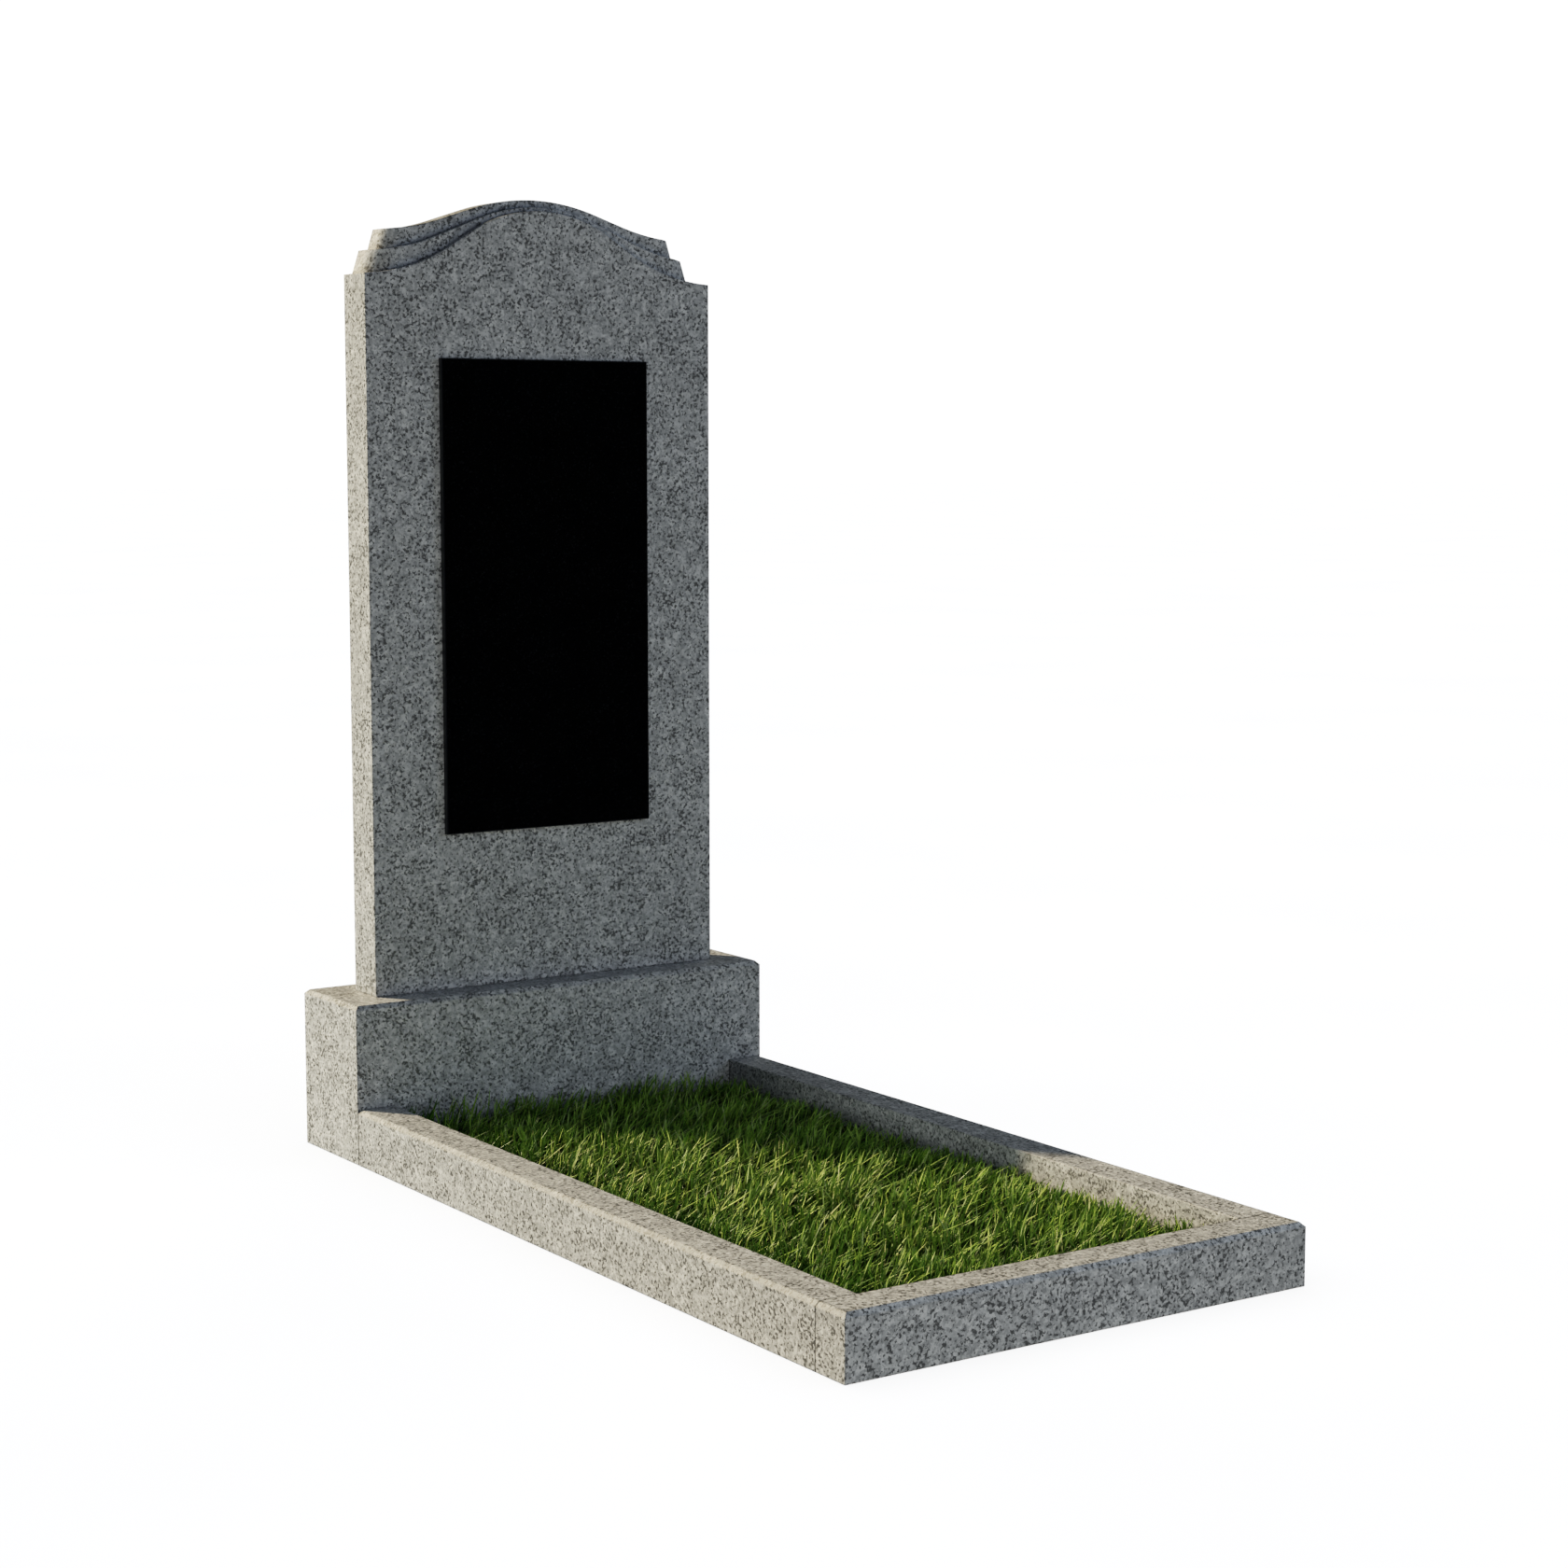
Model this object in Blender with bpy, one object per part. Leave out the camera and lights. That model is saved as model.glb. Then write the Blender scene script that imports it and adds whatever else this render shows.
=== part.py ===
"""Granite grave monument: a stele with a stepped ogee top and a polished black
panel, standing on a plinth block, with a three-piece kerb round a bed of turf.

Metres, +Z up.  The origin is at the ground, under the middle of the whole
plot.  +Y runs from the front kerb to the stele, so the panel faces -Y.
"""

import math

import bmesh
import bpy

# ---------------------------------------------------------------- sizes (m)
GAP = 0.0003                  # joint left between pieces that touch

PLOT_WIDTH = 0.600            # X, over the kerbs and the plinth
PLOT_LENGTH = 1.200           # Y, front of the front kerb to back of the plinth

BASE_DEPTH = 0.150
BASE_HEIGHT = 0.200
BASE_CHAMFER = 0.005          # all four top edges

KERB_WIDTH = 0.050
KERB_HEIGHT = 0.070
KERB_CHAMFER = 0.005          # outer top edges
KERB_ARRIS = 0.0008           # inner top edges, just broken

TURF_DEPTH = 0.030            # soil and roots, up to where the blades start

STELE_WIDTH = 0.500
STELE_THICKNESS = 0.058
STELE_ARRIS = 0.0008          # the long upright edges

PANEL_WIDTH = 0.300
PANEL_HEIGHT = 0.600
PANEL_PROUD = 0.008           # how far its face stands off the stele
PANEL_SILL = 0.200            # its lower edge above the plinth's top
PANEL_CHAMFER = 0.0012

# The stele's head is carved in three steps.  Each has its own ogee: a convex
# arc at the crest, a straight run at the steepest angle, a concave arc out to
# the shoulder.  Heights are above the plinth's top.
#            crest    radius  run    steepest shoulder half-width
OGEE_FRONT = (0.9868, 0.1908, 0.029, 32.59, 2.75, 0.2500)
OGEE_MIDDLE = (0.9923, 0.2173, 0.075, 21.63, 2.67, 0.2295)
OGEE_REAR = (1.0020, 0.2851, 0.047, 18.16, 3.40, 0.2095)

STEP_BACK = 0.011             # each step's face lies this far behind the last
MIDDLE_FOOT = 0.2390          # half-width where the middle step's ends land
REAR_FOOT = 0.2175            # half-width where the rear step's ends land
MIDDLE_ROUND = 0.036          # plan radius of the middle step's front corners
REAR_ROUND = 0.025            # plan radius of the rear step's front corners
CARVED_ARRIS = 0.0016         # softened front edge of each ogee
STEP_ROOT = 0.010             # how far a step's block reaches into the one below

OGEE_STEPS = 36               # facets in each half of an ogee
ROUND_STEPS = 12              # facets in each plan corner

# ------------------------------------------------------------------- places
Y_BACK = PLOT_LENGTH / 2
Y_BASE_FRONT = Y_BACK - BASE_DEPTH
Y_FRONT = -PLOT_LENGTH / 2
Y_STELE_FRONT = Y_BASE_FRONT + (BASE_DEPTH - STELE_THICKNESS) / 2
Y_STELE_BACK = Y_STELE_FRONT + STELE_THICKNESS
Z_STELE = BASE_HEIGHT + GAP


# ------------------------------------------------------------------ helpers
def clear_scene():
    for obj in list(bpy.data.objects):
        bpy.data.objects.remove(obj, do_unlink=True)


def collection(name):
    col = bpy.data.collections.get(name) or bpy.data.collections.new(name)
    if col.name not in bpy.context.scene.collection.children:
        bpy.context.scene.collection.children.link(col)
    return col


def material(name, colour, roughness, metallic=0.0):
    mat = bpy.data.materials.new(name)
    mat.use_nodes = True
    shader = mat.node_tree.nodes["Principled BSDF"]
    shader.inputs["Base Color"].default_value = (*colour, 1.0)
    shader.inputs["Roughness"].default_value = roughness
    shader.inputs["Metallic"].default_value = metallic
    mat.diffuse_color = (*colour, 1.0)
    return mat


def place(bm, name, col, mat=None):
    """Turn a bmesh into a named object in a collection."""
    bmesh.ops.recalc_face_normals(bm, faces=bm.faces[:])
    mesh = bpy.data.meshes.new(name)
    bm.to_mesh(mesh)
    bm.free()
    obj = bpy.data.objects.new(name, mesh)
    col.objects.link(obj)
    if mat is not None:
        mesh.materials.append(mat)
    return obj


def box(low, high):
    """A bmesh cube from corner to corner."""
    bm = bmesh.new()
    bmesh.ops.create_cube(bm, size=1.0)
    size = [h - l for l, h in zip(low, high)]
    mid = [(h + l) / 2 for l, h in zip(low, high)]
    bmesh.ops.scale(bm, vec=size, verts=bm.verts[:])
    bmesh.ops.translate(bm, vec=mid, verts=bm.verts[:])
    return bm


def edges_where(bm, test):
    """The edges whose two ends both pass a test on their position."""
    return [e for e in bm.edges if all(test(v.co) for v in e.verts)]


def bevel(bm, edges, width, segments=1):
    bmesh.ops.bevel(bm, geom=edges, offset=width, offset_type="OFFSET",
                    segments=segments, profile=0.5, affect="EDGES",
                    clamp_overlap=True)


def near(a, b):
    return abs(a - b) < 1e-5


def boolean(obj, other, operation):
    mod = obj.modifiers.new(operation.title() + "_" + other.name, "BOOLEAN")
    mod.operation = operation
    mod.solver = "EXACT"
    mod.object = other


def hide(obj):
    obj.hide_render = True
    obj.display_type = "WIRE"


# ------------------------------------------------------------ carved profile
def ogee_height(x, profile):
    """Height of an ogee at x, on both sides of its crest."""
    crest, radius, run, steepest, shoulder, half = profile
    x = abs(x)
    phi, psi = math.radians(steepest), math.radians(shoulder)
    x_arc = radius * math.sin(phi)
    x_run = x_arc + run * math.cos(phi)
    if x <= x_arc:
        return crest - (radius - math.sqrt(radius ** 2 - x ** 2))
    z_arc = crest - radius * (1 - math.cos(phi))
    if x <= x_run:
        return z_arc - (x - x_arc) * math.tan(phi)
    z_run = z_arc - run * math.sin(phi)
    concave = (half - x_run) / (math.sin(phi) - math.sin(psi))
    if x <= half:
        s = math.sin(phi) - (x - x_run) / concave
        return z_run - concave * (math.sqrt(1 - s * s) - math.cos(phi))
    end = z_run - concave * (math.cos(psi) - math.cos(phi))
    return end - (x - half) * math.tan(psi)


def ogee_prism(profile, half, foot, y_front, y_back):
    """A slab with an ogee top, its front arris softened along the curve."""
    bm = bmesh.new()
    xs = [half * (i / OGEE_STEPS) for i in range(-OGEE_STEPS, OGEE_STEPS + 1)]
    outline = [(x, Z_STELE + ogee_height(x, profile)) for x in xs]
    outline += [(half, foot), (-half, foot)]
    verts = [bm.verts.new((x, y_front, z)) for x, z in outline]
    face = bm.faces.new(verts)
    out = bmesh.ops.extrude_face_region(bm, geom=[face])
    moved = [v for v in out["geom"] if isinstance(v, bmesh.types.BMVert)]
    bmesh.ops.translate(bm, vec=(0, y_back - y_front, 0), verts=moved)
    bmesh.ops.recalc_face_normals(bm, faces=bm.faces[:])
    curve = edges_where(bm, lambda c: near(c.y, y_front) and c.z > foot + 1e-4)
    curve = [e for e in curve if abs(e.verts[0].co.x - e.verts[1].co.x) > 1e-5]
    bevel(bm, curve, CARVED_ARRIS, 3)
    return bm


def step_plan(foot_half, top_half, foot_z, top_z, radius, y_front, y_back):
    """A block whose ends lean in as they rise, with its two front corners
    rounded in plan.  It is wide below foot_z and narrow above top_z on the
    same two leaning planes."""
    low, high = Z_STELE + foot_z - STEP_ROOT, Z_STELE + top_z + 0.10
    lean = (foot_half - top_half) / (top_z - foot_z)
    half = foot_half + lean * STEP_ROOT
    plan = []
    for side in (-1, 1):
        corner = []
        for i in range(ROUND_STEPS + 1):
            a = math.pi / 2 * i / ROUND_STEPS
            corner.append((side * (half - radius * (1 - math.sin(a))),
                           y_front + radius * (1 - math.cos(a))))
        plan += corner[::-1] if side < 0 else corner
    plan += [(half, y_back), (-half, y_back)]
    bm = bmesh.new()
    face = bm.faces.new([bm.verts.new((x, y, low)) for x, y in plan])
    out = bmesh.ops.extrude_face_region(bm, geom=[face])
    moved = [v for v in out["geom"] if isinstance(v, bmesh.types.BMVert)]
    bmesh.ops.translate(bm, vec=(0, 0, high - low), verts=moved)
    for v in moved:
        v.co.x -= math.copysign(lean * (high - low), v.co.x)
    return bm


# ------------------------------------------------------------------- pieces
def make_stele(col, cutters, mat):
    over = 0.012                 # the steps run on behind, then are sawn off
    bm = ogee_prism(OGEE_FRONT, OGEE_FRONT[5], Z_STELE, Y_STELE_FRONT,
                    Y_STELE_BACK + over)
    upright = edges_where(bm, lambda c: near(abs(c.x), STELE_WIDTH / 2)
                          and c.y < Y_STELE_FRONT + 1e-5)
    bevel(bm, [e for e in upright
               if abs(e.verts[0].co.z - e.verts[1].co.z) > 0.5], STELE_ARRIS)
    stele = place(bm, "stele", col, mat)

    for name, ogee, steps, foot, radius in (
            ("middle_step", OGEE_MIDDLE, 1, MIDDLE_FOOT, MIDDLE_ROUND),
            ("rear_step", OGEE_REAR, 2, REAR_FOOT, REAR_ROUND)):
        y_front = Y_STELE_FRONT + steps * STEP_BACK
        y_back = Y_STELE_BACK + over + 0.003 * steps
        below = (OGEE_FRONT, OGEE_MIDDLE)[steps - 1]
        step = place(ogee_prism(ogee, 0.262, Z_STELE + 0.84, y_front, y_back),
                     name, cutters, mat)
        plan = place(step_plan(foot, ogee[5], ogee_height(foot, below),
                               ogee_height(ogee[5], ogee), radius,
                               y_front, y_back + 0.02),
                     name + "_plan", cutters, mat)
        hide(plan)
        boolean(step, plan, "INTERSECT")
        hide(step)
        boolean(stele, step, "UNION")

    saw = place(box((-0.4, Y_STELE_BACK, 0.1), (0.4, Y_STELE_BACK + 0.1, 1.4)),
                "back_saw", cutters, mat)
    hide(saw)
    boolean(stele, saw, "DIFFERENCE")
    return stele


def make_panel(col, mat):
    bm = box((-PANEL_WIDTH / 2, Y_STELE_FRONT - PANEL_PROUD,
              BASE_HEIGHT + PANEL_SILL),
             (PANEL_WIDTH / 2, Y_STELE_FRONT - GAP,
              BASE_HEIGHT + PANEL_SILL + PANEL_HEIGHT))
    face = Y_STELE_FRONT - PANEL_PROUD
    bevel(bm, edges_where(bm, lambda c: near(c.y, face)), PANEL_CHAMFER)
    return place(bm, "panel", col, mat)


def make_base(col, mat):
    bm = box((-PLOT_WIDTH / 2, Y_BASE_FRONT, 0),
             (PLOT_WIDTH / 2, Y_BACK, BASE_HEIGHT))
    bevel(bm, edges_where(bm, lambda c: near(c.z, BASE_HEIGHT)), BASE_CHAMFER)
    return place(bm, "base", col, mat)


def make_side_kerb(name, side, col, mat):
    outer, inner = PLOT_WIDTH / 2, PLOT_WIDTH / 2 - KERB_WIDTH
    xs = sorted((side * outer, side * inner))
    bm = box((xs[0], Y_FRONT + KERB_WIDTH, 0),
             (xs[1], Y_BASE_FRONT - GAP, KERB_HEIGHT))
    bevel(bm, edges_where(bm, lambda c: near(c.z, KERB_HEIGHT)
                          and near(c.x, side * outer)), KERB_CHAMFER)
    bevel(bm, edges_where(bm, lambda c: near(c.z, KERB_HEIGHT)
                          and near(c.x, side * inner)), KERB_ARRIS)
    return place(bm, name, col, mat)


def make_front_kerb(col, mat):
    inner = Y_FRONT + KERB_WIDTH - GAP
    bm = box((-PLOT_WIDTH / 2, Y_FRONT, 0), (PLOT_WIDTH / 2, inner, KERB_HEIGHT))
    bevel(bm, [e for e in edges_where(bm, lambda c: near(c.z, KERB_HEIGHT))
               if not all(near(v.co.y, inner) for v in e.verts)], KERB_CHAMFER)
    return place(bm, "kerb_front", col, mat)


def make_turf(col, mat):
    half = PLOT_WIDTH / 2 - KERB_WIDTH - GAP
    bm = box((-half, Y_FRONT + KERB_WIDTH, 0),
             (half, Y_BASE_FRONT - GAP, TURF_DEPTH))
    return place(bm, "turf_bed", col, mat)


def main():
    clear_scene()
    col = collection("granite_monument")
    cutters = collection("cutters")
    grey = (0.42, 0.42, 0.40)
    make_stele(col, cutters, material("stele_granite", grey, 0.55))
    make_panel(col, material("panel_black_granite", (0.010, 0.010, 0.012), 0.06))
    make_base(col, material("base_granite", grey, 0.55))
    make_side_kerb("kerb_left", -1, col, material("kerb_left_granite", grey, 0.6))
    make_side_kerb("kerb_right", 1, col, material("kerb_right_granite", grey, 0.6))
    make_front_kerb(col, material("kerb_front_granite", grey, 0.6))
    make_turf(col, material("turf", (0.06, 0.11, 0.02), 0.95))


main()
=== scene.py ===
import math

import bpy
import numpy as np
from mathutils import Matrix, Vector


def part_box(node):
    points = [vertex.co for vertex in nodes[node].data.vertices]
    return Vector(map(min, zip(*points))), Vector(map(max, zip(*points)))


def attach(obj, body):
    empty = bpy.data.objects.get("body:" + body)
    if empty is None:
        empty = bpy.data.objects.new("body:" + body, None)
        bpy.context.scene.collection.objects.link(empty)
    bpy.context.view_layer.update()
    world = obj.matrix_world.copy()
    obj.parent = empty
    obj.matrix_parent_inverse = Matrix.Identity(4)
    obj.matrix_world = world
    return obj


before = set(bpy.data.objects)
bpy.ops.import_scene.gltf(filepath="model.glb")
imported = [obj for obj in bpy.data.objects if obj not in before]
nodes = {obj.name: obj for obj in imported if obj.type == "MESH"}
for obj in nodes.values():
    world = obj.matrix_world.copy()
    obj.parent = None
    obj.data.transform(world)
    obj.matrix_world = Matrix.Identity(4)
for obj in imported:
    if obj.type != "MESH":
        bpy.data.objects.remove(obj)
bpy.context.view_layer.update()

scene = bpy.context.scene
scene.view_settings.view_transform = "Standard"
scene.view_settings.look = "None"
scene.view_settings.exposure = 0.0
scene.view_settings.gamma = 1.0

# Film-like response: a firm toe and a long shoulder, so that sunlit stone keeps its tone next to deep shade.
WHITE = 1.842
RESPONSE = (
    (0.004, 0.0021), (0.012, 0.0073), (0.03, 0.0211), (0.06, 0.0494), (0.10, 0.0948), (0.16, 0.1724), (0.25, 0.2862),
    (0.38, 0.4204), (0.55, 0.5463), (0.80, 0.6772), (1.20, 0.8262), (1.50, 0.9140),
)
scene.view_settings.use_curve_mapping = True
levels = scene.view_settings.curve_mapping
levels.white_level = (WHITE, WHITE, WHITE)
response = levels.curves[3]
for light_in, light_out in RESPONSE:
    response.points.new(light_in / WHITE, light_out)
for point in response.points:
    point.handle_type = "VECTOR"
levels.update()


# ---------------------------------------------------------------- node helpers

class Tree:
    """A material's node tree, written as expressions: every method returns an output socket."""

    def __init__(self, name):
        self.material = bpy.data.materials.new(name)
        self.material.use_nodes = True
        self.tree = self.material.node_tree
        self.tree.nodes.clear()
        self.out = self.tree.nodes.new("ShaderNodeOutputMaterial")
        self.column = 0

    def node(self, kind, **settings):
        made = self.tree.nodes.new(kind)
        made.location = (-2600 + 180 * (self.column % 14), 700 - 260 * (self.column // 14))
        self.column += 1
        for key, value in settings.items():
            setattr(made, key, value)
        return made

    def put(self, socket, value):
        if hasattr(value, "is_output"):
            self.tree.links.new(value, socket)
        else:
            socket.default_value = value

    def coordinates(self, move=(0, 0, 0), scale=(1, 1, 1), turn=(0, 0, 0)):
        where = self.node("ShaderNodeTexCoord").outputs["Object"]
        mapping = self.node("ShaderNodeMapping")
        self.put(mapping.inputs["Vector"], where)
        mapping.inputs["Location"].default_value = move
        mapping.inputs["Rotation"].default_value = turn
        mapping.inputs["Scale"].default_value = scale
        return mapping.outputs["Vector"]

    def noise(self, vector, scale, detail=2.0, roughness=0.5, lacunarity=2.0, distortion=0.0, colour=False):
        made = self.node("ShaderNodeTexNoise")
        self.put(made.inputs["Vector"], vector)
        made.inputs["Scale"].default_value = scale
        made.inputs["Detail"].default_value = detail
        made.inputs["Roughness"].default_value = roughness
        made.inputs["Lacunarity"].default_value = lacunarity
        made.inputs["Distortion"].default_value = distortion
        return made.outputs["Color" if colour else "Fac"]

    def voronoi(self, vector, scale, feature="F1", output="Color", randomness=1.0):
        made = self.node("ShaderNodeTexVoronoi", feature=feature)
        self.put(made.inputs["Vector"], vector)
        made.inputs["Scale"].default_value = scale
        made.inputs["Randomness"].default_value = randomness
        return made.outputs[output]

    def part(self, colour, channel):
        made = self.node("ShaderNodeSeparateColor")
        self.put(made.inputs["Color"], colour)
        return made.outputs[channel]

    def math(self, operation, a, b=0.0, c=0.0, clamp=False):
        made = self.node("ShaderNodeMath", operation=operation, use_clamp=clamp)
        self.put(made.inputs[0], a)
        self.put(made.inputs[1], b)
        self.put(made.inputs[2], c)
        return made.outputs[0]

    def vector(self, operation, a, b=(0, 0, 0), scale=None):
        made = self.node("ShaderNodeVectorMath", operation=operation)
        self.put(made.inputs[0], a)
        self.put(made.inputs[1], b)
        if scale is not None:
            self.put(made.inputs["Scale"], scale)
        return made.outputs["Value" if operation in ("DOT_PRODUCT", "LENGTH", "DISTANCE") else "Vector"]

    def ramp(self, value, stops, interpolation="LINEAR"):
        made = self.node("ShaderNodeValToRGB")
        made.color_ramp.interpolation = interpolation
        points = made.color_ramp.elements
        while len(points) < len(stops):
            points.new(0.5)
        for point, (place, colour) in zip(points, stops):
            point.position = place
            if not hasattr(colour, "__len__"):
                colour = (colour, colour, colour)
            point.color = (*colour, 1.0)
        self.put(made.inputs["Fac"], value)
        return made.outputs["Color"]

    def span(self, value, low, high, to_low=0.0, to_high=1.0, smooth=False):
        made = self.node("ShaderNodeMapRange", interpolation_type="SMOOTHSTEP" if smooth else "LINEAR")
        self.put(made.inputs["Value"], value)
        made.inputs["From Min"].default_value = low
        made.inputs["From Max"].default_value = high
        made.inputs["To Min"].default_value = to_low
        made.inputs["To Max"].default_value = to_high
        return made.outputs["Result"]

    def mix(self, factor, a, b, blend="MIX"):
        made = self.node("ShaderNodeMix", data_type="RGBA", blend_type=blend)
        made.clamp_factor = True
        self.put(made.inputs["Factor"], factor)
        for socket, value in ((made.inputs[6], a), (made.inputs[7], b)):
            if not hasattr(value, "is_output"):
                value = (*value, 1.0)
            self.put(socket, value)
        return made.outputs[2]

    def bump(self, height, distance, strength=1.0, normal=None):
        made = self.node("ShaderNodeBump")
        made.inputs["Strength"].default_value = strength
        made.inputs["Distance"].default_value = distance
        self.put(made.inputs["Height"], height)
        if normal is not None:
            self.put(made.inputs["Normal"], normal)
        return made.outputs["Normal"]

    def principled(self, **inputs):
        made = self.node("ShaderNodeBsdfPrincipled")
        for key, value in inputs.items():
            self.put(made.inputs[key.replace("_", " ")], value)
        self.tree.links.new(made.outputs["BSDF"], self.out.inputs["Surface"])
        return self.material


# ------------------------------------------------------------------- materials

def grey_granite(name, move, turn, joints=(), painted_slope_light=None, pale=1.0, arris=0.0025, damp=0.0):
    """Honed grey granite: a pale matrix of feldspar and quartz with dark, ragged mica that gathers in loose clouds.
    Each stone is cut from its own place in the rock. joints are the Y positions and widths of the butt joints, where a
    thin line of moisture and dirt has settled.
    painted_slope_light is painted light and shade on the slopes along the top edges: how light they are painted at the
    sides and in front, and how much painted highlight the front arris gets near the left end. pale is the tone of the
    whole stone, partly painted light: it is raised on some stones to make up for fill light, arris is how far the light
    rounds its edges, and damp is how far a painted bluish shade reaches out of the carved corners in front."""
    t = Tree(name)
    rock = t.coordinates(move=move, turn=turn)
    wander = t.vector("SUBTRACT", t.noise(rock, 420.0, 2.0, 0.6, colour=True), (0.5, 0.5, 0.5))
    grains_at = t.vector("ADD", rock, t.vector("SCALE", wander, scale=0.0030))

    # the matrix: grains of about 3 mm, each of its own grey, and feldspar crystals of 5 to 8 mm
    small = t.part(t.voronoi(grains_at, 300.0), "Red")
    matrix = t.ramp(small, [(0.0, 0.38), (0.5, 0.46), (1.0, 0.565)])
    large = t.voronoi(grains_at, 150.0)
    crystal = t.span(t.part(large, "Green"), 0.60, 0.70)
    matrix = t.mix(t.math("MULTIPLY", crystal, 0.7), matrix, t.ramp(t.part(large, "Blue"), [(0.0, (0.53, 0.53, 0.525)), (1.0, (0.68, 0.675, 0.665))]))
    # smoky quartz: soft grey stains between the crystals
    smoke = t.span(t.noise(grains_at, 185.0, 2.0, 0.55), 0.49, 0.62)
    body = t.mix(t.math("MULTIPLY", smoke, 0.54), matrix, (0.225, 0.228, 0.232))
    # mica: dark ragged flecks of 1 to 4 mm
    cloud = t.noise(rock, 42.0, 3.0, 0.6)
    raggedness = t.math("ADD", t.noise(grains_at, 275.0, 3.0, 0.55), t.math("MULTIPLY", cloud, 0.26))
    fleck = t.span(raggedness, 0.655, 0.735)
    mica_tone = t.ramp(t.noise(rock, 700.0, 1.0), [(0.3, (0.085, 0.086, 0.089)), (0.7, (0.160, 0.159, 0.156))])
    body = t.mix(fleck, body, mica_tone)
    # grain dust and the slow mottling of the slab
    fine = t.noise(rock, 1300.0, 2.0, 0.7)
    slow = t.noise(rock, 9.0, 3.0, 0.55)
    middle = t.noise(rock, 60.0, 2.0, 0.5)
    shade = t.math(
        "MULTIPLY",
        t.span(fine, 0.25, 0.75, 0.88 * pale, 1.12 * pale),
        t.math("MULTIPLY", t.span(slow, 0.3, 0.7, 0.96, 1.04), t.span(middle, 0.3, 0.7, 0.93, 1.07)),
    )
    if joints:
        y = t.node("ShaderNodeSeparateXYZ")
        t.put(y.inputs[0], t.coordinates())
        wobble = t.math("MULTIPLY", t.math("SUBTRACT", t.noise(rock, 160.0, 2.0), 0.5), 0.0009)
        for joint, reach in joints:
            off = t.math("ABSOLUTE", t.math("ADD", t.math("SUBTRACT", y.outputs["Y"], joint), wobble))
            shade = t.math("MULTIPLY", shade, t.span(off, 0.25 * reach, reach, 0.42, 1.0, smooth=True))
    # painted light and shade: sloped faces along the top edges are made darker or lighter by which way they face,
    # sideways or forward
    if painted_slope_light is not None:
        tilt = t.node("ShaderNodeSeparateXYZ")
        t.put(tilt.inputs[0], t.node("ShaderNodeNewGeometry").outputs["True Normal"])
        up = tilt.outputs["Z"]
        sloping = t.math("MULTIPLY", t.span(up, 0.25, 0.45, smooth=True), t.span(up, 0.97, 0.85, smooth=True))
        tone = t.span(tilt.outputs["Y"], -0.5, -0.3, painted_slope_light[1], painted_slope_light[0])
        across = t.node("ShaderNodeSeparateXYZ")
        t.put(across.inputs[0], t.coordinates())
        # painted highlight: front-facing arris slopes between x -0.175 and -0.200 are lightened as if the sun caught
        # them
        painted_arris_highlight = t.math("MULTIPLY", t.span(tilt.outputs["Y"], -0.3, -0.5), t.span(across.outputs["X"], -0.175, -0.200))
        tone = t.math("ADD", tone, t.math("MULTIPLY", painted_arris_highlight, painted_slope_light[2]))
        shade = t.math("MULTIPLY", shade, t.math("ADD", 1.0, t.math("MULTIPLY", sloping, t.math("SUBTRACT", tone, 1.0))))
    colour = t.vector("SCALE", body, scale=shade)
    # painted shade: near carved corners, found by ambient occlusion, forward-facing faces are darkened and tinted
    # bluish where shade falls
    if damp:
        corner = t.node("ShaderNodeAmbientOcclusion", samples=6, only_local=True)
        corner.inputs["Distance"].default_value = damp
        facing = t.node("ShaderNodeSeparateXYZ")
        t.put(facing.inputs[0], t.node("ShaderNodeNewGeometry").outputs["True Normal"])
        corner_shade_mask = t.math("MULTIPLY", t.span(corner.outputs["AO"], 0.95, 0.55), t.span(facing.outputs["Y"], -0.5, -0.8))
        colour = t.mix(corner_shade_mask, colour, t.vector("MULTIPLY", colour, (0.70, 0.76, 0.86)))

    roughness = t.mix(fleck, t.ramp(small, [(0.0, 0.50), (1.0, 0.62)]), (0.40, 0.40, 0.40))
    height = t.math("ADD", t.noise(rock, 420.0, 3.0, 0.65), t.math("MULTIPLY", fleck, -0.35))
    wave = t.noise(t.coordinates(move=move, scale=(60.0, 60.0, 14.0)), 1.0, 2.0, 0.5)
    worn = t.node("ShaderNodeBevel", samples=6)
    worn.inputs["Radius"].default_value = arris
    normal = t.bump(height, 0.00012, 1.0, t.bump(wave, 0.0004, 0.4, worn.outputs["Normal"]))
    return t.principled(Base_Color=colour, Roughness=t.part(roughness, "Red"), Normal=normal, Specular_IOR_Level=0.45, IOR=1.5)


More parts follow.
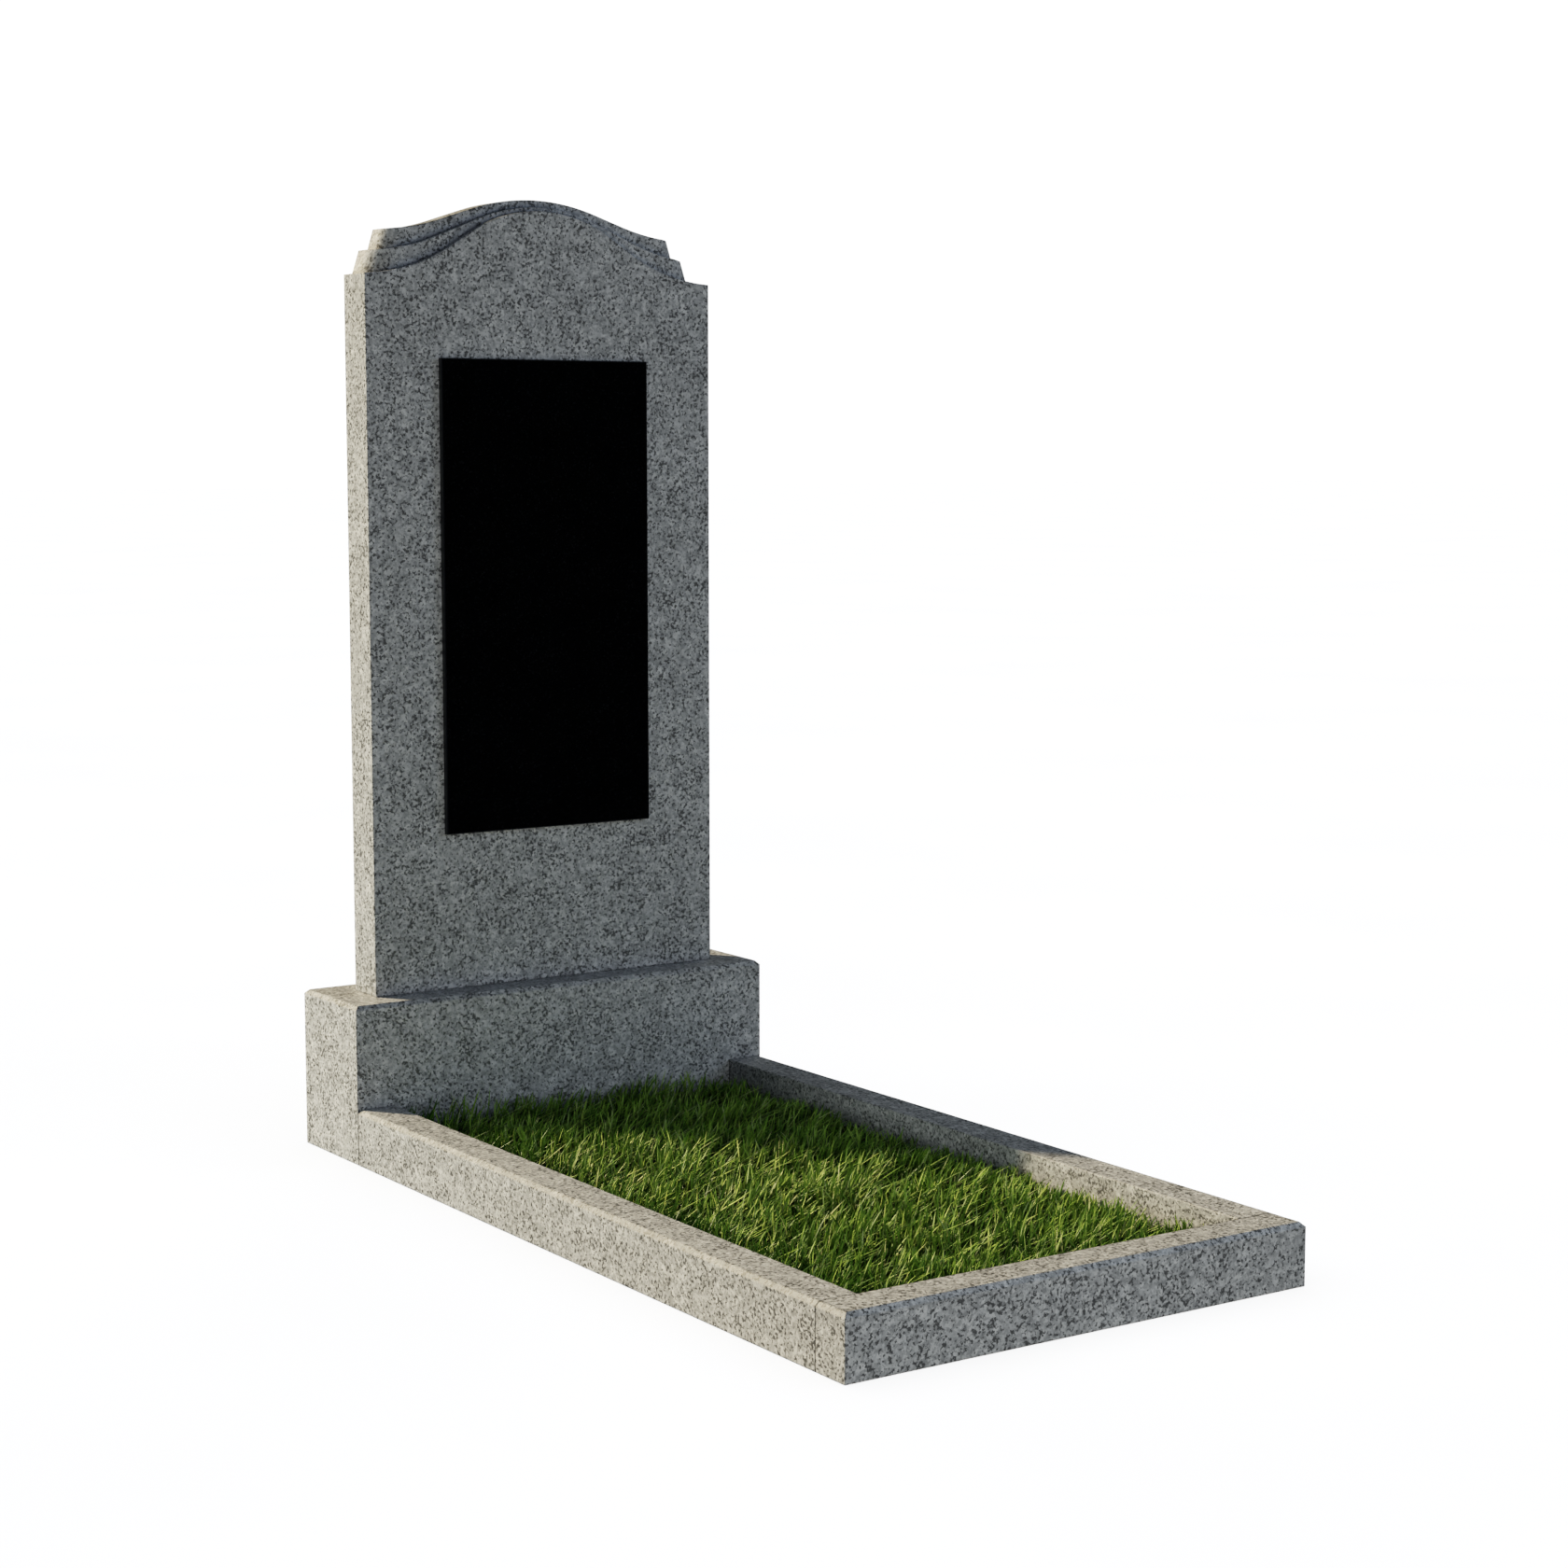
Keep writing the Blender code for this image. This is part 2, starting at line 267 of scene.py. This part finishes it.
def black_granite(name):
    """Mirror-polished black gabbro: almost no colour, faint grey-blue grains under the polish and a trace of dust. Its
    edges only have a matt rubbing, so they are rougher, and they are a little greyer, partly from the rubbing and
    partly as a painted edge highlight."""
    t = Tree(name)
    rock = t.coordinates(move=(3.1, 0.7, 1.9), turn=(0.4, 0.2, 0.9))
    cells = t.voronoi(rock, 620.0)
    tone = t.ramp(t.part(cells, "Red"), [(0.0, (0.0010, 0.0011, 0.0013)), (0.9, (0.0022, 0.0024, 0.0028)), (1.0, (0.010, 0.011, 0.013))])
    cloudy = t.noise(rock, 24.0, 3.0, 0.6)
    colour = t.vector("SCALE", tone, scale=t.span(cloudy, 0.3, 0.7, 0.7, 1.3))
    facing = t.node("ShaderNodeSeparateXYZ")
    t.put(facing.inputs[0], t.node("ShaderNodeNewGeometry").outputs["True Normal"])
    # faces that don't look straight forward, the edges and sides, are rougher and painted greyer: partly a matt edge,
    # partly a painted highlight
    rubbed_edge_and_highlight = t.span(facing.outputs["Y"], -0.97, -0.80)
    colour = t.mix(rubbed_edge_and_highlight, colour, (0.016, 0.018, 0.022))
    smear = t.noise(t.coordinates(scale=(18.0, 18.0, 3.0)), 1.0, 3.0, 0.6)
    roughness = t.math("ADD", t.span(smear, 0.3, 0.75, 0.035, 0.085), t.math("MULTIPLY", rubbed_edge_and_highlight, 0.30))
    normal = t.bump(t.noise(rock, 2.2, 2.0, 0.5), 0.0005, 0.25)
    return t.principled(Base_Color=colour, Roughness=roughness, Normal=normal, Specular_IOR_Level=0.5, IOR=1.5)


def soil(name):
    """The dark root mat under the grass: crumbs of earth, bits of dead blade and moss."""
    t = Tree(name)
    at = t.coordinates()
    crumbs = t.voronoi(at, 260.0)
    earth = t.ramp(t.part(crumbs, "Red"), [(0.0, (0.006, 0.006, 0.003)), (0.6, (0.018, 0.017, 0.009)), (1.0, (0.045, 0.040, 0.020))])
    moss = t.ramp(t.noise(at, 900.0, 2.0, 0.7), [(0.3, (0.006, 0.011, 0.002)), (0.7, (0.022, 0.034, 0.008))])
    colour = t.mix(t.span(t.noise(at, 60.0, 3.0, 0.6), 0.42, 0.58), earth, moss)
    height = t.math("ADD", t.noise(at, 320.0, 4.0, 0.7), t.math("MULTIPLY", t.voronoi(at, 260.0, output="Distance"), 0.8))
    return t.principled(
        Base_Color=colour,
        Roughness=t.span(t.noise(at, 150.0, 2.0), 0.3, 0.7, 0.85, 1.0),
        Normal=t.bump(height, 0.004, 1.0),
        Specular_IOR_Level=0.2,
    )


def grass(name):
    """Leaf blades. The attribute "leaf" holds a number of each blade's own (red), the place along it (green) and how dry it is (blue)."""
    t = Tree(name)
    leaf = t.node("ShaderNodeAttribute", attribute_name="leaf", attribute_type="GEOMETRY").outputs["Color"]
    own, along, dry = t.part(leaf, "Red"), t.part(leaf, "Green"), t.part(leaf, "Blue")
    at = t.coordinates()
    green = t.ramp(own, [(0.0, (0.036, 0.096, 0.007)), (0.3, (0.098, 0.198, 0.019)), (0.65, (0.255, 0.378, 0.060)), (1.0, (0.500, 0.580, 0.172))])
    straw = t.ramp(t.noise(at, 500.0, 1.0), [(0.3, (0.46, 0.48, 0.22)), (0.7, (0.64, 0.63, 0.38))])
    dryness = t.math("MULTIPLY", dry, t.span(along, 0.0, 1.0, 0.35, 1.0), clamp=True)
    colour = t.mix(dryness, green, straw)
    # painted shade: each blade is darkened towards its root, down to 8 % at the ground, where the canopy shades it
    root_shade = t.span(along, 0.0, 0.70, 0.08, 1.0)
    mottle = t.span(t.noise(at, 420.0, 2.0, 0.6), 0.3, 0.7, 0.86, 1.14)
    colour = t.vector("SCALE", colour, scale=t.math("MULTIPLY", root_shade, mottle))
    ribs = t.noise(t.coordinates(scale=(2600.0, 2600.0, 90.0)), 1.0, 1.0)
    return t.principled(
        Base_Color=colour,
        Roughness=t.span(own, 0.0, 1.0, 0.46, 0.62),
        Normal=t.bump(ribs, 0.0001, 0.2),
        Specular_IOR_Level=0.42,
    )


def stage_floor(name):
    t = Tree(name)
    at = t.coordinates()
    tone = t.span(t.noise(at, 1.3, 3.0, 0.5), 0.3, 0.7, 0.79, 0.81)
    colour = t.ramp(tone, [(0.0, 0.0), (1.0, 1.0)])
    return t.principled(Base_Color=colour, Roughness=t.span(tone, 0.79, 0.81, 0.9, 1.0), Specular_IOR_Level=0.0)


# Per stone: where its rock is taken from and how it is turned, the painted light and shade on its top-edge slopes
# (sides, front, highlight near the left end of the front arris), and its overall tone, which is partly painted light,
# raised on some stones to make up for fill light
STONES = {
    "stele": ((0.37, 1.20, 2.10), (0.30, 0.10, 0.45), (1.0, 1.0, 1.2), 1.06),
    "base": ((5.10, 2.70, 0.40), (0.10, 0.55, 1.10), (0.80, 0.90, 0.0), 1.11),
    "kerb_left": ((2.20, 7.30, 1.60), (0.70, 0.25, 0.20), (0.74, 0.80, 0.0), 1.04),
    "kerb_right": ((8.40, 0.90, 3.30), (0.15, 0.80, 1.70), (0.84, 0.84, 0.0), 1.03),
    "kerb_front": ((1.50, 4.80, 6.20), (0.50, 0.60, 0.30), (0.78, 1.20, 0.0), 1.00),
}


def dress(node, material):
    mesh = nodes[node].data
    if not mesh.materials:
        mesh.materials.append(material)
    for i in range(len(mesh.materials)):
        mesh.materials[i] = material


BACK_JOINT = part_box("base")[0].y
FRONT_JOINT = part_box("kerb_front")[1].y
SIDE_JOINTS = ((BACK_JOINT, 0.0036), (FRONT_JOINT, 0.0017))
JOINTS = {"kerb_left": SIDE_JOINTS, "kerb_right": SIDE_JOINTS, "kerb_front": ((FRONT_JOINT, 0.0017),)}
for stone, (move, turn, painted_slope_light, pale) in STONES.items():
    # the painted bluish corner shade is given to the stele only
    damp = 0.011 if stone == "stele" else 0.0
    dress(stone, grey_granite("granite_" + stone, move, turn, JOINTS.get(stone, ()), painted_slope_light, pale, damp=damp))
dress("panel", black_granite("polished_black"))
dress("turf_bed", soil("root_mat"))


# ----------------------------------------------------------------------- grass

TURF_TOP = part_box("turf_bed")[1].z
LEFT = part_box("kerb_left")[1].x + 0.0012
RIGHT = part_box("kerb_right")[0].x - 0.0012
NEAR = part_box("kerb_front")[1].y + 0.0012
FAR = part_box("base")[0].y - 0.0012
PICTURE_RIGHT = np.array((0.8285, -0.5600))


def smooth(v, low, high):
    t = np.clip((v - low) / (high - low), 0.0, 1.0)
    return t * t * (3.0 - 2.0 * t)


def waves(rng, count, shortest, longest):
    """A smooth random field over the bed: a sum of plane waves. Returns a function of (x, y) with values near -1 to 1."""
    angle = rng.uniform(0, 2 * math.pi, count)
    length = np.exp(rng.uniform(math.log(shortest), math.log(longest), count))
    phase = rng.uniform(0, 2 * math.pi, count)
    kx, ky = 2 * math.pi / length * np.cos(angle), 2 * math.pi / length * np.sin(angle)

    def field(x, y):
        total = np.zeros_like(x)
        for a, b, c in zip(kx, ky, phase):
            total += np.sin(a * x + b * y + c)
        return total / math.sqrt(count / 2.0) / 1.6

    return field


def canopy(x, y, field):
    """Height above the ground that blade tips reach, in metres."""
    h = 0.066 + 0.006 * field(x, y)
    h -= 0.014 * smooth(x, 0.17, 0.245)
    h += 0.020 * np.exp(-((x + 0.17) / 0.06) ** 2 - ((y - 0.425) / 0.035) ** 2)
    return h


def edge_shade(x, y, field):
    """How much painted shade darkens the grass, 0 to 1: in fans along the left kerb, in the near left corner and, more
    weakly, along the front kerb.
    """
    edge = 1.0 - smooth(x - LEFT, 0.022 + 0.016 * field(x, y), 0.040 + 0.020 * field(x, y))
    corner = np.exp(-((x - LEFT) / 0.075) ** 2 - ((y - NEAR) / 0.045) ** 2)
    near = 0.6 * (1.0 - smooth(y - NEAR, 0.008, 0.024))
    return np.clip(edge + corner + near, 0.0, 1.0)


def sow(rng, count, tufts, tuft_radius, loose):
    """Roots of the blades: most stand in tufts, the rest between them. Returns x, y and each blade's tuft."""
    cx = rng.uniform(LEFT, RIGHT, tufts)
    cy = rng.uniform(NEAR, FAR, tufts)
    tuft = rng.integers(0, tufts, count)
    x = cx[tuft] + rng.normal(0, tuft_radius, count)
    y = cy[tuft] + rng.normal(0, tuft_radius, count)
    free = rng.random(count) < loose
    x[free] = rng.uniform(LEFT, RIGHT, free.sum())
    y[free] = rng.uniform(NEAR, FAR, free.sum())
    # a root that falls outside the bed comes back in from its edge
    for v, low, high in ((x, LEFT, RIGHT), (y, NEAR, FAR)):
        v[:] = np.where(v < low, 2 * low - v, v)
        v[:] = np.where(v > high, 2 * high - v, v)
        np.clip(v, low, high, out=v)
    return x, y, tuft


def blades(name, material, seed, count, tufts, tuft_radius, loose, height, width, lean, bow, segments, dry_share, lying, tone):
    rng = np.random.default_rng(seed)
    x, y, tuft = sow(rng, count, tufts, tuft_radius, loose)
    shared = np.random.default_rng(71)
    field = waves(shared, 14, 0.05, 0.20)
    drift = waves(shared, 10, 0.06, 0.22)
    tall = canopy(x, y, field) - TURF_TOP

    # which way a blade leans: the bed's common drift, the tuft's own way and the blade's own. Some lie over to one side.
    own_angle = rng.uniform(0, 2 * math.pi, count)
    tuft_angle = rng.uniform(0, 2 * math.pi, tufts)[tuft]
    flat = rng.random(count) < lying
    direction = (
        0.50 * PICTURE_RIGHT[None, :]
        + 0.35 * drift(x, y)[:, None] * np.array((PICTURE_RIGHT[1], -PICTURE_RIGHT[0]))[None, :]
        + 0.45 * np.stack((np.cos(tuft_angle), np.sin(tuft_angle)), 1)
        + np.where(flat, 0.45, 0.80)[:, None] * np.stack((np.cos(own_angle), np.sin(own_angle)), 1)
    )
    direction[flat] += 0.6 * PICTURE_RIGHT
    direction /= np.linalg.norm(direction, axis=1, keepdims=True) + 1e-9
    slope = lean[0] + (lean[1] - lean[0]) * rng.beta(1.4, 2.6, count)
    bend = bow[0] + (bow[1] - bow[0]) * rng.beta(1.5, 2.5, count)
    rise = tall * (height[0] + (height[1] - height[0]) * rng.beta(2.2, 1.8, count))
    slope[flat] = rng.uniform(0.9, 2.0, flat.sum())
    rise[flat] *= rng.uniform(0.65, 0.92, flat.sum())
    reach = rise * (slope + bend)

    # no blade leans into a stone: near an edge the lean turns along it or back
    for axis, v, low, high in ((0, x, LEFT, RIGHT), (1, y, NEAR, FAR)):
        tip = v + direction[:, axis] * reach
        out = (tip < low) | (tip > high)
        direction[:, axis] = np.where(out, -direction[:, axis] * 0.6, direction[:, axis])

    across = rng.uniform(0, 2 * math.pi, count)
    side = np.stack((np.cos(across), np.sin(across), np.zeros(count)), 1)
    half = (width[0] + (width[1] - width[0]) * rng.beta(1.5, 2.0, count)) / 2
    twist = rng.normal(0, 0.30, count)

    # each blade is a folded strip: left edge, midrib and right edge on every row, and one point at the tip
    rows = segments
    per = 3 * rows + 1
    points = np.empty((count, per, 3))
    tint = np.empty((count, per, 4))
    number = tone[0] + (tone[1] - tone[0]) * np.clip(0.70 * rng.random(count) + 0.30 * rng.random(tufts)[tuft], 0, 1)
    # painted shade: blades are darkened along the kerbs and in the near left corner, and by up to 16 % towards the
    # front
    number *= (1.0 - 0.85 * edge_shade(x, y, field)) * (1.0 - 0.16 * smooth(-y, 0.25, 0.50))
    dry = np.where(rng.random(count) < dry_share, rng.uniform(0.45, 1.0, count), rng.uniform(0.0, 0.25, count) ** 1.5)
    # where the painted shade lies, no blade is straw-coloured
    dry *= 1.0 - edge_shade(x, y, field)
    fold = rng.uniform(0.15, 0.55, count)
    for r in range(rows + 1):
        s = r / rows
        away = rise * (slope * s + bend * s * s)
        up = rise * (s - 0.22 * bend * s ** 3)
        middle = np.stack((x + direction[:, 0] * away, y + direction[:, 1] * away, TURF_TOP - 0.002 + up), 1)
        middle[:, 0] = np.clip(middle[:, 0], LEFT, RIGHT)
        middle[:, 1] = np.clip(middle[:, 1], NEAR, FAR)
        shade = np.stack((number, np.full(count, s), dry, np.ones(count)), 1)
        if r == rows:
            points[:, 3 * rows] = middle
            tint[:, 3 * rows] = shade
            continue
        taper = half * (0.80 + 0.65 * s - 1.25 * s * s)
        turned = across + twist * s
        way = np.stack((np.cos(turned), np.sin(turned), np.zeros(count)), 1)
        keel = np.stack((-np.sin(turned), np.cos(turned), np.zeros(count)), 1)
        for k, corner in enumerate((
            middle - taper[:, None] * way,
            middle + (fold * taper)[:, None] * keel,
            middle + taper[:, None] * way,
        )):
            corner[:, 0] = np.clip(corner[:, 0], LEFT - 0.0008, RIGHT + 0.0008)
            corner[:, 1] = np.clip(corner[:, 1], NEAR - 0.0008, FAR + 0.0008)
            points[:, 3 * r + k] = corner
            tint[:, 3 * r + k] = shade

    base = np.arange(count)[:, None] * per
    quads = []
    for r in range(rows - 1):
        for k in (0, 1):
            a = 3 * r + k
            quads.append(base + np.array((a, a + 1, a + 4, a + 3))[None, :])
    quads = np.concatenate(quads, 0)
    last = 3 * (rows - 1)
    tips = np.concatenate((base + np.array((last, last + 1, last + 3)), base + np.array((last + 1, last + 2, last + 3))), 0)

    mesh = bpy.data.meshes.new(name)
    corners = np.concatenate((quads.ravel(), tips.ravel())).astype(np.int32)
    starts = np.concatenate((np.arange(len(quads)) * 4, len(quads) * 4 + np.arange(len(tips)) * 3)).astype(np.int32)
    totals = np.concatenate((np.full(len(quads), 4), np.full(len(tips), 3))).astype(np.int32)
    mesh.vertices.add(count * per)
    mesh.vertices.foreach_set("co", points.reshape(-1).astype(np.float32))
    mesh.loops.add(len(corners))
    mesh.loops.foreach_set("vertex_index", corners)
    mesh.polygons.add(len(starts))
    mesh.polygons.foreach_set("loop_start", starts)
    mesh.polygons.foreach_set("loop_total", totals)
    mesh.update(calc_edges=True)
    leaf = mesh.attributes.new("leaf", "FLOAT_COLOR", "POINT")
    leaf.data.foreach_set("color", tint.reshape(-1).astype(np.float32))
    mesh.validate()
    mesh.materials.append(material)
    piece = bpy.data.objects.new(name, mesh)
    scene.collection.objects.link(piece)
    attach(piece, "root")
    return piece


leaf_material = grass("grass_blades")
lawn = []
lawn.append(blades("grass_under", leaf_material, 11, 15000, 1500, 0.007, 0.5, (0.22, 0.55), (0.0018, 0.0032), (0.1, 1.2), (0.0, 0.9), 3, 0.05, 0.2, (0.0, 0.45)))
lawn.append(blades("grass_tall", leaf_material, 101, 10500, 560, 0.0085, 0.35, (0.62, 1.14), (0.0020, 0.0036), (0.03, 0.64), (0.0, 0.40), 5, 0.10, 0.30, (0.0, 1.0)))


# ------------------------------------------------------- floor, light and camera

def ground(name, material, half):
    mesh = bpy.data.meshes.new(name)
    z = -0.0006
    mesh.from_pydata([(-half, -half, z), (half, -half, z), (half, half, z), (-half, half, z)], [], [(0, 1, 2, 3)])
    mesh.materials.append(material)
    made = bpy.data.objects.new(name, mesh)
    scene.collection.objects.link(made)
    return made


floor = ground("floor", stage_floor("floor_pale"), 60.0)
floor.visible_diffuse = False
floor.visible_glossy = False
floor.visible_shadow = False

only_floor = bpy.data.collections.new("lit_floor")
only_floor.objects.link(floor)
not_floor = bpy.data.collections.new("lit_object")
not_floor.objects.link(floor)
not_floor.collection_objects[0].light_linking.link_state = "EXCLUDE"


def lamp(kind, name, colour, toward=None, at=None, look=None, receivers=None, shadows=True, glossy=True, **settings):
    data = bpy.data.lights.new(name, kind)
    data.color = colour
    for key, value in settings.items():
        setattr(data, key, value)
    data.use_shadow = shadows
    made = bpy.data.objects.new(name, data)
    scene.collection.objects.link(made)
    if at is not None:
        made.location = at
        toward = Vector(look) - Vector(at)
    made.rotation_euler = Vector(toward).to_track_quat("-Z", "Y").to_euler()
    made.visible_glossy = glossy
    if receivers is not None:
        made.light_linking.receiver_collection = receivers
    return made


SUN_RISE = math.radians(32.0)
SUN_WAY = (0.588 * math.cos(SUN_RISE), -0.809 * math.cos(SUN_RISE), -math.sin(SUN_RISE))
lamp("SUN", "key", (1.0, 0.848, 0.595), toward=SUN_WAY, energy=4.48, angle=math.radians(1.8), receivers=not_floor)
lamp(
    "AREA", "bounce_left", (0.940, 1.0, 0.936), at=(-2.2, 1.3, 0.25), look=(-0.3, 0.5, 0.3), receivers=not_floor,
    glossy=False, energy=25.2, shape="DISK", size=1.4,
)
lamp(
    "AREA", "fill_near", (0.934, 0.991, 1.0), at=(-0.5, -2.8, 0.55), look=(0.0, 0.0, 0.2), receivers=not_floor,
    glossy=False, energy=18.2, shape="DISK", size=1.6,
)
lamp(
    "AREA", "fill_right", (0.680, 0.816, 1.0), at=(2.6, -1.6, 1.6), look=(0.0, 0.2, 0.2), receivers=not_floor,
    glossy=False, energy=14.8, shape="DISK", size=1.6,
)
lamp(
    "AREA", "top_right", (1.0, 1.0, 0.880), at=(1.7, 1.2, 2.2), look=(0.2, 0.0, 0.1), receivers=not_floor,
    glossy=False, energy=8.6, shape="DISK", size=1.6,
)
if lawn:
    only_grass = bpy.data.collections.new("lit_grass")
    for piece in lawn:
        only_grass.objects.link(piece)
    lamp("SUN", "key_grass", (1.0, 0.80, 0.60), toward=SUN_WAY, energy=1.15, angle=math.radians(1.8), receivers=only_grass)
    lamp(
        "AREA", "fill_grass", (0.15, 1.0, 0.25), at=(-0.5, -2.2, 1.6), look=(0.0, 0.0, 0.1), receivers=only_grass,
        glossy=False, energy=3.6, shape="DISK", size=1.6,
    )
lamp("SUN", "floor_even", (1.0, 1.0, 1.0), toward=(0, 0, -1), energy=4.5, angle=0.1, receivers=only_floor, shadows=False)
lamp("SUN", "floor_soft", (1.0, 1.0, 1.0), toward=(0, 0, -1), energy=2.6, angle=2.2, receivers=only_floor)

world = bpy.data.worlds.new("studio")
scene.world = world
world.use_nodes = True
world.node_tree.nodes.clear()
sky_out = world.node_tree.nodes.new("ShaderNodeOutputWorld")
where = world.node_tree.nodes.new("ShaderNodeTexCoord")
split = world.node_tree.nodes.new("ShaderNodeSeparateXYZ")
edge = world.node_tree.nodes.new("ShaderNodeMapRange")
edge.inputs["From Min"].default_value = -0.03
edge.inputs["From Max"].default_value = 0.03
halves = world.node_tree.nodes.new("ShaderNodeMix")
halves.data_type = "RGBA"
halves.inputs[6].default_value = (0.235, 0.224, 0.198, 1.0)   # light off pale ground
halves.inputs[7].default_value = (0.038, 0.050, 0.072, 1.0)   # open sky
dim = world.node_tree.nodes.new("ShaderNodeBackground")
dim.inputs["Strength"].default_value = 1.0
white = world.node_tree.nodes.new("ShaderNodeBackground")
white.inputs["Color"].default_value = (1.0, 1.0, 1.0, 1.0)
white.inputs["Strength"].default_value = WHITE * 1.05
rays = world.node_tree.nodes.new("ShaderNodeLightPath")
choose = world.node_tree.nodes.new("ShaderNodeMixShader")
links = world.node_tree.links
links.new(where.outputs["Generated"], split.inputs[0])
links.new(split.outputs["Z"], edge.inputs["Value"])
links.new(edge.outputs["Result"], halves.inputs["Factor"])
links.new(halves.outputs[2], dim.inputs["Color"])
links.new(rays.outputs["Is Camera Ray"], choose.inputs[0])
links.new(dim.outputs[0], choose.inputs[1])
links.new(white.outputs[0], choose.inputs[2])
links.new(choose.outputs[0], sky_out.inputs["Surface"])
world.cycles_visibility.glossy = False

camera_data = bpy.data.cameras.new("camera")
camera_data.sensor_width = 36.0
camera_data.lens = 67.719
camera_data.clip_start = 0.05
camera_data.clip_end = 200.0
camera = bpy.data.objects.new("camera", camera_data)
scene.collection.objects.link(camera)
camera.location = (-1.8764, -2.8283, 0.8868)
camera.rotation_euler = (math.radians(83.5245), 0.0, math.radians(-34.059))
scene.camera = camera
